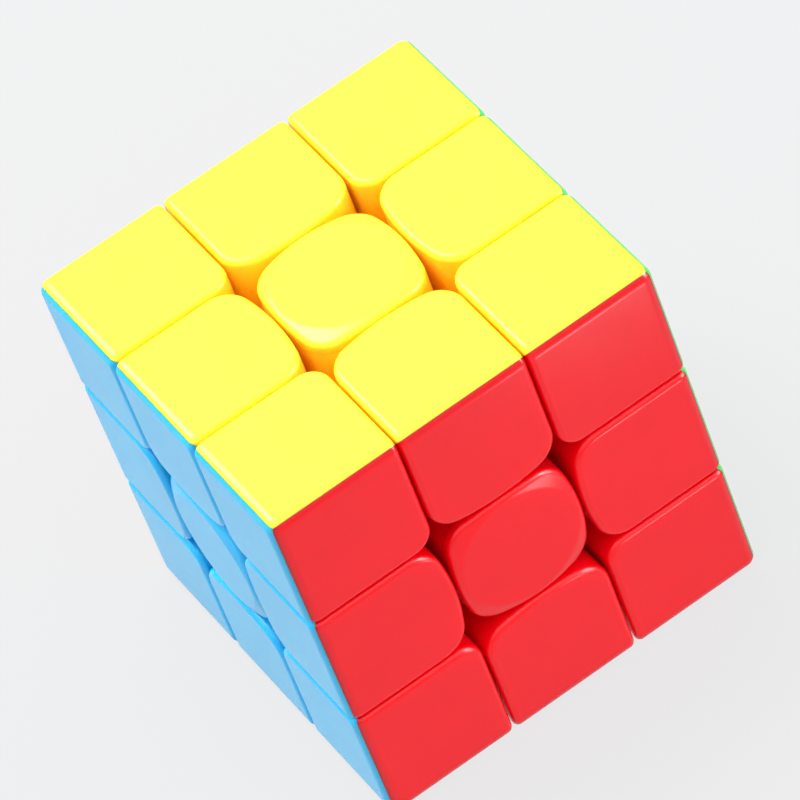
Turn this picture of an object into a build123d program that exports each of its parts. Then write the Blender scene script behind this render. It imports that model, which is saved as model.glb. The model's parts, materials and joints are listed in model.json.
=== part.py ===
from build123d import *
import os
from math import asin, cos, degrees, radians, sin, tan

# A twisty puzzle cube of three layers each way. A core with six arms carries six sprung centres,
# which hold twelve edges of two coloured shells and eight corners of three coloured shells.
# Millimetres, +Z up, origin at the centre of the cube.

# Whole cube
CUBE_SIZE = 56.0
FACE = CUBE_SIZE / 2                     # cube centre to an outer face
CUT = CUBE_SIZE / 6                      # cube centre to a cut between two layers
SEAM = 0.3                               # gap between neighbouring pieces
PIECE_START = CUT + SEAM / 2             # cube centre to the inner side of an edge or corner
PIECE_HALF = CUT - SEAM / 2              # half width of an edge or centre piece

# Rounding of the outer surfaces
CUBE_EDGE_ROUND = 1.6                    # along the cube's own twelve edges
RIM_ROUND = 0.85                         # round the rim of every coloured tile
CORNER_ROUND = 3.0                       # upright inner edge of a corner piece
EDGE_ROUND = 4.1                         # upright inner edges of an edge piece
CENTRE_ROUND = 4.2                       # upright edges of a centre piece
BOW_RADIUS = 31.0                        # sides that bulge towards their neighbour
WALL = 1.6                               # thickness of the moulded shells

# Turning surfaces. A foot lies under its neighbours, between two balls about the cube centre
# and inside a cone about each turning axis. A narrower neck joins it to the outer shell.
RUN_GAP = 0.15                           # each moving surface stands back this far
FOOT_INNER = 13.8                        # radius of the ball inside the feet
FOOT_OUTER = 17.0                        # radius of the ball over the feet
NECK_OUTER = 20.3                        # radius of the ball where the necks end
FOOT_ANGLE = 70.0                        # half angle of the cone round the feet
NECK_ANGLE = 63.0                        # half angle of the cone round the necks
NECK_OVERLAP = 0.4                       # how far a neck reaches into its foot

# Centre piece and its cap
HUB_RADIUS = 4.4
HUB_START = 9.8                          # cube centre to the hub's inner end
HUB_FLOOR = 1.5
HUB_BORE_RADIUS = 3.55
SCREW_PASSAGE_RADIUS = 1.8
POCKET_START = 19.6
CAP_THICKNESS = 2.0
CAP_START = FACE - CAP_THICKNESS
CAP_GAP = 0.1                            # between the cap and its hub
CAP_RIM_DEPTH = 1.6
CAP_RIM_WALL = 1.0
CAP_FLAT_RADIUS = 8.4                    # round flat table on top of the cap
CAP_FLAT_ROUND = 2.0                     # softens the border of that table
CAP_SLOPE = 17.0                         # slope outside it, in degrees

# Core, screws, washers and springs, all along the arms
CORE_BLOCK = 12.5
CORE_BLOCK_ROUND = 2.5
ARM_RADIUS = 4.2
ARM_END = 9.5
SCREW_RADIUS = 1.45
SCREW_HOLE_GAP = 0.03
SCREW_START = 3.2
SCREW_TIP_CHAMFER = 0.6
HEAD_START = 18.7
HEAD_RADIUS = 3.2
HEAD_HEIGHT = 2.2
HEAD_ROUND = 0.7
RECESS_LENGTH = 3.6
RECESS_WIDTH = 0.8
RECESS_DEPTH = 1.2
WASHER_GAP = 0.1                         # running gap between hub floor and washer
WASHER_THICKNESS = 0.5
WASHER_RADIUS = 3.2
WASHER_HOLE_RADIUS = 1.6
WASHER_START = HUB_START + HUB_FLOOR + WASHER_GAP
WIRE_RADIUS = 0.3
COIL_RADIUS = 2.75                       # spring axis to the middle of the wire
COIL_TURNS = 5.5
END_GAP = 0.02                           # keeps the spring and the screw tip from biting
COIL_START = WASHER_START + WASHER_THICKNESS + END_GAP + WIRE_RADIUS
COIL_HEIGHT = HEAD_START - END_GAP - WIRE_RADIUS - COIL_START

# Helpers for cutting shapes, which reach well outside the cube
REACH = 40.0
CONE_HEIGHT = 24.0
ORIGIN = (0, 0, 0)
BOTTOM = (Align.CENTER, Align.CENTER, Align.MIN)
BALL_TURN = (90, 0, 0)                   # turns a ball so that its seam lies off every foot

# Outward direction and colour of each face, in the usual colour scheme
FACES = {
    "up": ((0, 0, 1), "yellow"),
    "down": ((0, 0, -1), "white"),
    "front": ((0, -1, 0), "red"),
    "back": ((0, 1, 0), "orange"),
    "right": ((1, 0, 0), "green"),
    "left": ((-1, 0, 0), "blue"),
}
UPRIGHT = ("up", "down")
DEPTH = ("front", "back")
SIDE = ("right", "left")
EDGES = [(first, second) for first in UPRIGHT for second in DEPTH + SIDE]
EDGES += [(first, second) for first in DEPTH for second in SIDE]
CORNERS = [(first, second, third) for first in UPRIGHT for second in DEPTH for third in SIDE]


def outward(face):
    """Unit vector that points out of a face."""
    return Vector(*FACES[face][0])


def arm_frame(face):
    """Frame at the cube centre with +Z out of a face."""
    return Plane(origin=ORIGIN, z_dir=outward(face))


def tile_frame(face, others):
    """Frame with +Z out of a tile's face, +X out of the next face round the piece."""
    first, last = others[0], others[-1]
    if len(others) == 2 and outward(face).cross(outward(first)).dot(outward(last)) < 0:
        first = last
    return Plane(origin=ORIGIN, x_dir=outward(first), z_dir=outward(face))


def on_ray(radius, angle):
    """Point at a radius from the cube centre, at an angle from a sketch's +Y axis."""
    return (radius * sin(radians(angle)), radius * cos(radians(angle)))


def widened(angle, radius):
    """Where a cone crosses a ball once it is moved out by the running gap, as an angle."""
    return angle + degrees(asin(RUN_GAP / radius))


def held_shell(inner_radius, outer_radius, half_angle, frames):
    """The part of a thick ball shell inside the cones about all the given turning axes."""
    apex = RUN_GAP / sin(radians(half_angle))
    mouth = CONE_HEIGHT * tan(radians(half_angle))
    with BuildPart() as shell:
        Sphere(outer_radius, rotation=BALL_TURN)
        for frame in frames:
            with Locations(frame.offset(apex)):
                Cone(0, mouth, CONE_HEIGHT, align=BOTTOM, mode=Mode.INTERSECT)
        Sphere(inner_radius, rotation=BALL_TURN, mode=Mode.SUBTRACT)
    return shell.part


def neighbour_layer(frame):
    """Space that the layer about a frame's +Z sweeps, with the running gap added."""
    shelf = FOOT_OUTER + RUN_GAP
    apex = (0, -RUN_GAP / sin(radians(FOOT_ANGLE)))
    foot_end = on_ray(shelf, widened(FOOT_ANGLE, shelf))
    shelf_middle = on_ray(shelf, (FOOT_ANGLE + NECK_ANGLE) / 2)
    neck_start = on_ray(shelf, widened(NECK_ANGLE, shelf))
    neck_end = on_ray(REACH, widened(NECK_ANGLE, REACH))
    section = Plane(origin=ORIGIN, x_dir=frame.x_dir, z_dir=frame.x_dir.cross(frame.z_dir))
    with BuildPart() as layer:
        with BuildSketch(section):
            with BuildLine():
                Line(apex, foot_end)
                ThreePointArc(foot_end, shelf_middle, neck_start)
                Line(neck_start, neck_end)
                Polyline(neck_end, (0, neck_end[1]), apex)
            make_face()
        revolve(axis=Axis(ORIGIN, frame.z_dir))
    return layer.part


def arch_outline(inset):
    """Outline of an edge piece's tile: three straight sides, and one that bows to the cube centre."""
    start, end, half_width = PIECE_START + inset, FACE - inset, PIECE_HALF - inset
    bow_end = start + BOW_RADIUS - (BOW_RADIUS ** 2 - half_width ** 2) ** 0.5
    with BuildSketch(mode=Mode.PRIVATE) as outline:
        with BuildLine():
            ThreePointArc((bow_end, -half_width), (start, 0), (bow_end, half_width))
            Polyline((bow_end, half_width), (end, half_width), (end, -half_width), (bow_end, -half_width))
        make_face()
        fillet(outline.vertices().group_by(Axis.X)[0], EDGE_ROUND - inset)
    return outline.sketch


def cushion_outline(inset):
    """Outline of a centre piece: a square with four bowed sides and rounded corners."""
    half_width = PIECE_HALF - inset
    with BuildSketch(mode=Mode.PRIVATE) as outline:
        Circle(BOW_RADIUS)
        for bow in PolarLocations(BOW_RADIUS - half_width, 4):
            with Locations(bow):
                Circle(BOW_RADIUS, mode=Mode.INTERSECT)
        fillet(outline.vertices(), CENTRE_ROUND - inset)
    return outline.sketch


def is_cap_rim(edge):
    """Whether an edge of the cap runs round its outside, below the flat table."""
    height = edge.center().Z - CAP_START
    return edge.geom_type != GeomType.CIRCLE and CAP_THICKNESS / 2 < height


def six_of(part):
    """One copy on each arm of a part that lies on the +Z arm."""
    with BuildPart() as group:
        for face in FACES:
            with Locations(arm_frame(face)):
                add(part)
    return group.part


def placed(part, frame):
    """A copy of a part, moved to another frame at the cube centre."""
    with BuildPart() as copy:
        with Locations(frame):
            add(part)
    return copy.part


def write(part, name):
    """Names a finished piece and writes its file."""
    part.label = name
    export_step(part, f"parts/{name}.step")


x_layers = [neighbour_layer(Plane.YZ), neighbour_layer(-Plane.YZ)]
y_layers = [neighbour_layer(Plane.XZ), neighbour_layer(-Plane.XZ)]
foot_ball = FOOT_INNER + RUN_GAP
shelf_ball = FOOT_OUTER - RUN_GAP

# Corner piece, in the octant where x, y and z are all positive
corner_axes = [Plane.XY, Plane.YZ, Plane.ZX]
corner_foot = held_shell(foot_ball, shelf_ball, FOOT_ANGLE, corner_axes)
corner_neck = held_shell(shelf_ball - NECK_OVERLAP, NECK_OUTER, NECK_ANGLE, corner_axes)
near_point = (PIECE_START,) * 3
far_point = (FACE,) * 3
corner_side = FACE - PIECE_START

with BuildPart() as corner_cavity:
    with Locations((PIECE_START + WALL,) * 3):
        Box(*(corner_side - 2 * WALL,) * 3, align=(Align.MIN,) * 3)
    fillet(corner_cavity.edges().sort_by_distance(near_point)[:3], CORNER_ROUND - WALL)
    Sphere(NECK_OUTER + WALL, rotation=BALL_TURN, mode=Mode.SUBTRACT)

# One third of the corner: the shell whose tile faces +Z, with its share of the foot
with BuildPart() as corner_third:
    with Locations(near_point):
        Box(*(corner_side,) * 3, align=(Align.MIN,) * 3)
    fillet(corner_third.edges().sort_by_distance(near_point)[:3], CORNER_ROUND)
    fillet(corner_third.edges().sort_by_distance(far_point)[:3], CUBE_EDGE_ROUND)
    rim = []
    for edge in corner_third.edges():
        middle = edge.center()
        if max(middle) > FACE - CUBE_EDGE_ROUND and min(middle) < PIECE_START + CORNER_ROUND:
            rim.append(edge)
    fillet(rim, RIM_ROUND)
    add(corner_neck)
    add(corner_foot)
    add(corner_cavity.part, mode=Mode.SUBTRACT)
    split(bisect_by=Plane(origin=ORIGIN, z_dir=(-1, 0, 1)))
    split(bisect_by=Plane(origin=ORIGIN, z_dir=(0, -1, 1)))

# Edge piece, along Y between the +X and +Z faces
edge_axes = [Plane.XY, Plane.YZ]
edge_foot = held_shell(foot_ball, shelf_ball, FOOT_ANGLE, edge_axes)
edge_neck = held_shell(shelf_ball - NECK_OVERLAP, NECK_OUTER, NECK_ANGLE, edge_axes)

with BuildPart() as edge_cavity:
    with BuildSketch(Plane.XY):
        add(arch_outline(WALL))
    extrude(amount=FACE - WALL)
    Sphere(NECK_OUTER + WALL, rotation=BALL_TURN, mode=Mode.SUBTRACT)

# One half of the edge: the shell whose tile faces +Z, with its share of the foot
with BuildPart() as edge_half:
    with BuildSketch(Plane.XY):
        add(arch_outline(0))
    extrude(amount=FACE)
    fillet(edge_half.edges().sort_by_distance((FACE, 0, FACE))[:1], CUBE_EDGE_ROUND)
    rim = []
    for edge in edge_half.edges():
        middle = edge.center()
        beside_seam = abs(middle.Y) > PIECE_HALF - EDGE_ROUND or middle.X < PIECE_START + EDGE_ROUND
        if max(middle) > FACE - CUBE_EDGE_ROUND and beside_seam:
            rim.append(edge)
    fillet(rim, RIM_ROUND)
    Sphere(foot_ball, rotation=BALL_TURN, mode=Mode.SUBTRACT)
    add(edge_neck)
    add(edge_foot)
    for layer in y_layers:
        add(layer, mode=Mode.SUBTRACT)
    add(edge_cavity.part, mode=Mode.SUBTRACT)
    split(bisect_by=Plane(origin=ORIGIN, z_dir=(-1, 0, 1)))

# Hub of the centre piece on the +Z arm, which turns on its screw
with BuildPart() as centre_hub:
    with BuildSketch(Plane.XY.offset(CUT)):
        add(cushion_outline(0))
    extrude(amount=CAP_START - CAP_GAP - CUT)
    Sphere(foot_ball, rotation=BALL_TURN, mode=Mode.SUBTRACT)
    for layer in x_layers + y_layers:
        add(layer, mode=Mode.SUBTRACT)
    with Locations((0, 0, HUB_START)):
        Cylinder(HUB_RADIUS, POCKET_START - HUB_START, align=BOTTOM)
    with BuildSketch(Plane.XY.offset(POCKET_START)):
        add(cushion_outline(WALL))
    extrude(amount=CAP_START - POCKET_START, mode=Mode.SUBTRACT)
    with Locations((0, 0, HUB_START + HUB_FLOOR)):
        Cylinder(HUB_BORE_RADIUS, REACH, align=BOTTOM, mode=Mode.SUBTRACT)
    Cylinder(SCREW_PASSAGE_RADIUS, REACH, align=BOTTOM, mode=Mode.SUBTRACT)

# Its cap: a round flat table, a slope outside it, and a rim that plugs into the hub
with BuildPart() as centre_cap:
    with BuildSketch(Plane.XY.offset(CAP_START)):
        add(cushion_outline(0))
    extrude(amount=CAP_THICKNESS)
    with Locations((0, 0, CAP_START)):
        slope_radius = CAP_FLAT_RADIUS + CAP_THICKNESS / tan(radians(CAP_SLOPE))
        Cone(slope_radius, CAP_FLAT_RADIUS, CAP_THICKNESS, align=BOTTOM, mode=Mode.INTERSECT)
    fillet(centre_cap.edges().group_by(Axis.Z)[-1], CAP_FLAT_ROUND)
    fillet(centre_cap.edges().filter_by(is_cap_rim), RIM_ROUND)
    with BuildSketch(Plane.XY.offset(CAP_START)):
        add(cushion_outline(WALL + CAP_GAP))
        add(cushion_outline(WALL + CAP_GAP + CAP_RIM_WALL), mode=Mode.SUBTRACT)
    extrude(amount=-CAP_RIM_DEPTH)

# Core: a rounded block with six arms, each with a screw hole
with BuildPart() as core:
    Box(CORE_BLOCK, CORE_BLOCK, CORE_BLOCK)
    fillet(core.edges(), CORE_BLOCK_ROUND)
    for face in FACES:
        with Locations(arm_frame(face)):
            Cylinder(ARM_RADIUS, ARM_END, align=BOTTOM)
    for face in FACES:
        with Locations(arm_frame(face).offset(SCREW_START)):
            Cylinder(SCREW_RADIUS + SCREW_HOLE_GAP, REACH, align=BOTTOM, mode=Mode.SUBTRACT)

# Screw with a rounded head and a cross recess, its washer, and the spring between them
with BuildPart() as screw:
    with Locations((0, 0, SCREW_START + END_GAP)):
        Cylinder(SCREW_RADIUS, HEAD_START - SCREW_START, align=BOTTOM)
    chamfer(screw.edges().group_by(Axis.Z)[0], SCREW_TIP_CHAMFER)
    with Locations((0, 0, HEAD_START)):
        Cylinder(HEAD_RADIUS, HEAD_HEIGHT, align=BOTTOM)
    fillet(screw.edges().group_by(Axis.Z)[-1], HEAD_ROUND)
    with Locations((0, 0, HEAD_START + HEAD_HEIGHT - RECESS_DEPTH)):
        Box(RECESS_LENGTH, RECESS_WIDTH, REACH, align=BOTTOM, mode=Mode.SUBTRACT)
        Box(RECESS_WIDTH, RECESS_LENGTH, REACH, align=BOTTOM, mode=Mode.SUBTRACT)

with BuildPart() as washer:
    with BuildSketch(Plane.XY.offset(WASHER_START)):
        Circle(WASHER_RADIUS)
        Circle(WASHER_HOLE_RADIUS, mode=Mode.SUBTRACT)
    extrude(amount=WASHER_THICKNESS)

with BuildPart() as spring:
    with BuildLine() as coil:
        Helix(COIL_HEIGHT / COIL_TURNS, COIL_HEIGHT, COIL_RADIUS, center=(0, 0, COIL_START))
    with BuildSketch(Plane(origin=coil.line @ 0, z_dir=coil.line % 0)):
        Circle(WIRE_RADIUS)
    sweep()

# Every piece in its place, one file for each node
os.makedirs("parts", exist_ok=True)
write(core.part, "core")
write(six_of(screw.part), "screws")
write(six_of(washer.part), "washers")
write(six_of(spring.part), "springs")

for face in FACES:
    with BuildPart() as centre:
        with Locations(arm_frame(face)):
            add(centre_hub.part)
            add(centre_cap.part)
    write(centre.part, f"centre_{FACES[face][1]}")

for kind, master, group in (("edge", edge_half, EDGES), ("corner", corner_third, CORNERS)):
    for piece in group:
        for face in piece:
            others = [other for other in piece if other != face]
            name = "_".join((kind, *piece, FACES[face][1]))
            write(placed(master.part, tile_frame(face, others)), name)
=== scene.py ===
import json
import math

import bpy
from mathutils import Matrix, Vector


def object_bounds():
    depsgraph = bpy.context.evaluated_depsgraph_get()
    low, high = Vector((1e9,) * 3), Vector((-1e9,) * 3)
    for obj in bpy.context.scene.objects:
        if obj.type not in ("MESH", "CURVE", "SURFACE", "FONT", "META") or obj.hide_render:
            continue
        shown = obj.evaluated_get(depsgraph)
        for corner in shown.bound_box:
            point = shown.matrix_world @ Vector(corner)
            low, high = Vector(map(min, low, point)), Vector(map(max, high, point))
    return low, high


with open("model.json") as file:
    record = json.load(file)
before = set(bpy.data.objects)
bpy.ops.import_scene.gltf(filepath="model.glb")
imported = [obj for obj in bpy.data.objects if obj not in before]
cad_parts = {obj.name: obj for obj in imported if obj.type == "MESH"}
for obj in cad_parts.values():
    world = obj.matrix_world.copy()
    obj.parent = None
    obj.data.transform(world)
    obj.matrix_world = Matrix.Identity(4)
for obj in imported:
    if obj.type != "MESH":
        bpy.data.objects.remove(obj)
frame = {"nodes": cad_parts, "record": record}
cad_box = [list(corner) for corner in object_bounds()]
lowest, highest = (Vector(corner) for corner in cad_box)
centre = (lowest + highest) / 2
scene = bpy.context.scene

# Camera: where it looks from and its roll, in degrees, its distance in metres and its lens in millimetres
CAMERA_AZIMUTH = -16.33
CAMERA_ELEVATION = 46.46
CAMERA_ROLL = -22.42
CAMERA_DISTANCE = 0.936
CAMERA_LENS = 342.6
AIM_OFFSET = Vector((0.00161, 0.00152, 0.00182))

# Softboxes: azimuth and elevation in degrees, distance, width and height in metres, power in watts
SOFTBOXES = {
    "key_light": (-155.0, 57.0, 0.8, 0.34, 0.60, 7.4),
    "side_light": (50.0, 24.0, 0.7, 0.12, 0.12, 1.4),
    "rim_light": (56.0, 18.0, 0.7, 0.40, 0.45, 5.4),
    "low_card": (22.2, -7.6, 0.088, 0.026, 0.018, 0.0085),
}
# These show in reflections only: as the pale rims of the red tiles and the crescent on the red centre
REFLECTED_ONLY = ("rim_light", "low_card")

# Brightness of the studio dome at its foot and overhead
HORIZON_GLOW = 0.38
OVERHEAD_GLOW = 2.2
COOL_WHITE = (0.985, 0.99, 1.0, 1.0)

# Light table under the cube, its width in metres
TABLE_WIDTH = 12.0
TABLE_GLOW = 0.745
TABLE_GREY = 0.05
TABLE_ROUGHNESS = 0.9
TABLE_SPECULAR = 0.1

# How often light may bounce: the gaps between the yellow tiles turn orange from wall to wall
MAX_BOUNCES = 24
DIFFUSE_BOUNCES = 16

# Plastic of each face: its linear colour, and how far each channel of light travels inside it
PLASTICS = {
    "yellow_plastic": ((1.0, 0.66, 0.028), (1.0, 0.4, 0.05)),
    "white_plastic": ((0.87, 0.87, 0.85), (1.0, 0.9, 0.8)),
    "red_plastic": ((0.84, 0.001, 0.008), (1.0, 0.1, 0.1)),
    "orange_plastic": ((0.93, 0.20, 0.008), (1.0, 0.3, 0.1)),
    "green_plastic": ((0.09, 0.64, 0.12), (0.2, 0.8, 0.3)),
    "blue_plastic": ((0.010, 0.40, 0.71), (0.1, 0.3, 0.6)),
    "core_nylon": ((0.72, 0.72, 0.69), (1.0, 0.9, 0.8)),
}
LIGHT_DEPTH = 0.003                      # metres, where a channel's share above is 1
LIGHT_INSIDE = 0.9                       # share of the light that goes into the plastic
PLASTIC_IOR = 1.49
PLASTIC_SPECULAR = 0.4

# Variation of the plastic. A noise has so many waves per metre and so many levels of detail.
MOTTLE = (90.0, 3.0)
MOTTLE_TONES = (0.96, 1.03)
HANDLING = (140.0, 2.0)
HANDLING_ROUGHNESS = (0.22, 0.26)
FLOW = (110.0, 0.0)
FLOW_RELIEF = 0.2

# Steel inside the cube: its linear colour, roughness and how many grains it shows per metre
STEELS = {
    "screw_steel": ((0.62, 0.62, 0.63), 0.30, 900.0),
    "washer_steel": ((0.66, 0.66, 0.67), 0.35, 1400.0),
    "spring_steel": ((0.50, 0.50, 0.52), 0.28, 2200.0),
}
GRAIN_DETAIL = 3.0
GRAIN_TONES = (0.85, 1.1)
GRAIN_RELIEF = 0.3
SMOOTHER = 0.08                          # how far the grain takes the roughness down and up
ROUGHER = 0.1

NOISE_LOW = 0.3                          # a noise lies mostly between these two values
NOISE_HIGH = 0.7
RELIEF_DEPTH = 0.00002                   # metres


class Nodes:
    """Adds shader nodes to one new material and links them."""

    def __init__(self, name):
        self.material = bpy.data.materials.new(name)
        self.material.use_nodes = True
        self.tree = self.material.node_tree
        self.shader = self.tree.nodes["Principled BSDF"]

    def add(self, kind, inputs):
        node = self.tree.nodes.new(kind)
        for key, value in inputs.items():
            self.put(node, key, value)
        return node

    def put(self, node, key, value):
        """Sets an input, or links it when the value is another node's output."""
        if isinstance(value, bpy.types.NodeSocket):
            self.tree.links.new(value, node.inputs[key])
        else:
            node.inputs[key].default_value = value

    def places(self):
        """Coordinates that stay on the object, in metres."""
        return self.add("ShaderNodeTexCoord", {}).outputs["Object"]

    def noise(self, coordinates, per_metre, detail):
        inputs = {"Vector": coordinates, "Scale": per_metre, "Detail": detail}
        return self.add("ShaderNodeTexNoise", inputs).outputs["Fac"]

    def spread(self, noise, low, high):
        """Stretches a noise to run from one value to another."""
        inputs = {"Value": noise, "From Min": NOISE_LOW, "From Max": NOISE_HIGH}
        inputs.update({"To Min": low, "To Max": high})
        return self.add("ShaderNodeMapRange", inputs).outputs["Result"]

    def tones(self, noise, colour, darkest, lightest):
        """The colour, made darker and lighter by a noise."""
        blend = self.add("ShaderNodeValToRGB", {"Fac": self.spread(noise, 0.0, 1.0)})
        for stop, factor in zip(blend.color_ramp.elements, (darkest, lightest)):
            stop.color = (*(min(1.0, channel * factor) for channel in colour), 1.0)
        return blend.outputs["Color"]

    def relief(self, height, strength):
        """Very shallow relief of the surface."""
        inputs = {"Height": height, "Strength": strength, "Distance": RELIEF_DEPTH}
        return self.add("ShaderNodeBump", inputs).outputs["Normal"]


def moulded_plastic(name, colour, depth):
    """Solid-coloured moulded plastic that glows a little: satin gloss, faint mottle and flow waves."""
    n = Nodes(name)
    where = n.places()
    n.put(n.shader, "Base Color", n.tones(n.noise(where, *MOTTLE), colour, *MOTTLE_TONES))
    n.put(n.shader, "Roughness", n.spread(n.noise(where, *HANDLING), *HANDLING_ROUGHNESS))
    n.put(n.shader, "Normal", n.relief(n.noise(where, *FLOW), FLOW_RELIEF))
    n.put(n.shader, "IOR", PLASTIC_IOR)
    n.put(n.shader, "Specular IOR Level", PLASTIC_SPECULAR)
    n.put(n.shader, "Subsurface Weight", LIGHT_INSIDE)
    n.put(n.shader, "Subsurface Radius", depth)
    n.put(n.shader, "Subsurface Scale", LIGHT_DEPTH)
    return n.material


def steel(name, colour, roughness, per_metre):
    """Plated, pressed or drawn steel with a fine grain."""
    n = Nodes(name)
    grain = n.noise(n.places(), per_metre, GRAIN_DETAIL)
    n.put(n.shader, "Base Color", n.tones(grain, colour, *GRAIN_TONES))
    n.put(n.shader, "Roughness", n.spread(grain, roughness - SMOOTHER, roughness + ROUGHER))
    n.put(n.shader, "Normal", n.relief(grain, GRAIN_RELIEF))
    n.put(n.shader, "Metallic", 1.0)
    return n.material


def paint_nodes():
    """Gives every CAD node the material of its slot in the record."""
    materials = {name: moulded_plastic(name, *values) for name, values in PLASTICS.items()}
    materials.update({name: steel(name, *values) for name, values in STEELS.items()})
    for part in frame["record"]["subparts"]:
        node = frame["nodes"][part["node"]]
        node.data.materials.clear()
        node.data.materials.append(materials[part["material_slot"]])


def add_floor():
    """Plain pale light table that the cube rests on."""
    bpy.ops.mesh.primitive_plane_add(size=TABLE_WIDTH, location=(0.0, 0.0, lowest.z))
    floor = bpy.context.object
    floor.name = "floor"
    n = Nodes("table_acrylic")
    n.put(n.shader, "Base Color", (TABLE_GREY, TABLE_GREY, TABLE_GREY, 1.0))
    n.put(n.shader, "Roughness", TABLE_ROUGHNESS)
    n.put(n.shader, "Specular IOR Level", TABLE_SPECULAR)
    n.put(n.shader, "Emission Color", COOL_WHITE)
    n.put(n.shader, "Emission Strength", TABLE_GLOW)
    floor.data.materials.append(n.material)


def direction(azimuth, elevation):
    """Unit vector towards a viewer. Azimuth 0 is in front (-Y) and 90 on the right (+X)."""
    turn, climb = math.radians(azimuth), math.radians(elevation)
    return Vector((math.sin(turn) * math.cos(climb), -math.cos(turn) * math.cos(climb), math.sin(climb)))


def aimed(name, data, position, target):
    """Adds a camera or light that looks from a position to a target."""
    item = bpy.data.objects.new(name, data)
    scene.collection.objects.link(item)
    facing = (target - position).to_track_quat("-Z", "Y").to_matrix().to_4x4()
    item.matrix_world = Matrix.Translation(position) @ facing
    return item


def add_softboxes():
    for name, (azimuth, elevation, distance, width, height, power) in SOFTBOXES.items():
        light = bpy.data.lights.new(name, "AREA")
        light.shape = "RECTANGLE"
        light.size = width
        light.size_y = height
        light.energy = power
        item = aimed(name, light, centre + direction(azimuth, elevation) * distance, centre)
        item.visible_diffuse = name not in REFLECTED_ONLY


def add_dome():
    """Pale studio dome, brightest overhead."""
    world = bpy.data.worlds.new("studio")
    scene.world = world
    world.use_nodes = True
    nodes, links = world.node_tree.nodes, world.node_tree.links
    dome = nodes["Background"]
    where = nodes.new("ShaderNodeTexCoord")
    height = nodes.new("ShaderNodeSeparateXYZ")
    glow = nodes.new("ShaderNodeMapRange")
    glow.interpolation_type = "SMOOTHSTEP"
    glow.inputs["To Min"].default_value = HORIZON_GLOW
    glow.inputs["To Max"].default_value = OVERHEAD_GLOW
    dome.inputs["Color"].default_value = COOL_WHITE
    links.new(where.outputs["Generated"], height.inputs["Vector"])
    links.new(height.outputs["Z"], glow.inputs["Value"])
    links.new(glow.outputs["Result"], dome.inputs["Strength"])


def add_camera():
    camera = bpy.data.cameras.new("camera")
    camera.lens = CAMERA_LENS
    position = centre + direction(CAMERA_AZIMUTH, CAMERA_ELEVATION) * CAMERA_DISTANCE
    item = aimed("camera", camera, position, centre + AIM_OFFSET)
    item.matrix_world = item.matrix_world @ Matrix.Rotation(math.radians(CAMERA_ROLL), 4, "Z")
    scene.camera = item


paint_nodes()
add_floor()
add_dome()
add_softboxes()
add_camera()
scene.view_settings.view_transform = "Standard"
scene.cycles.max_bounces = MAX_BOUNCES
scene.cycles.diffuse_bounces = DIFFUSE_BOUNCES
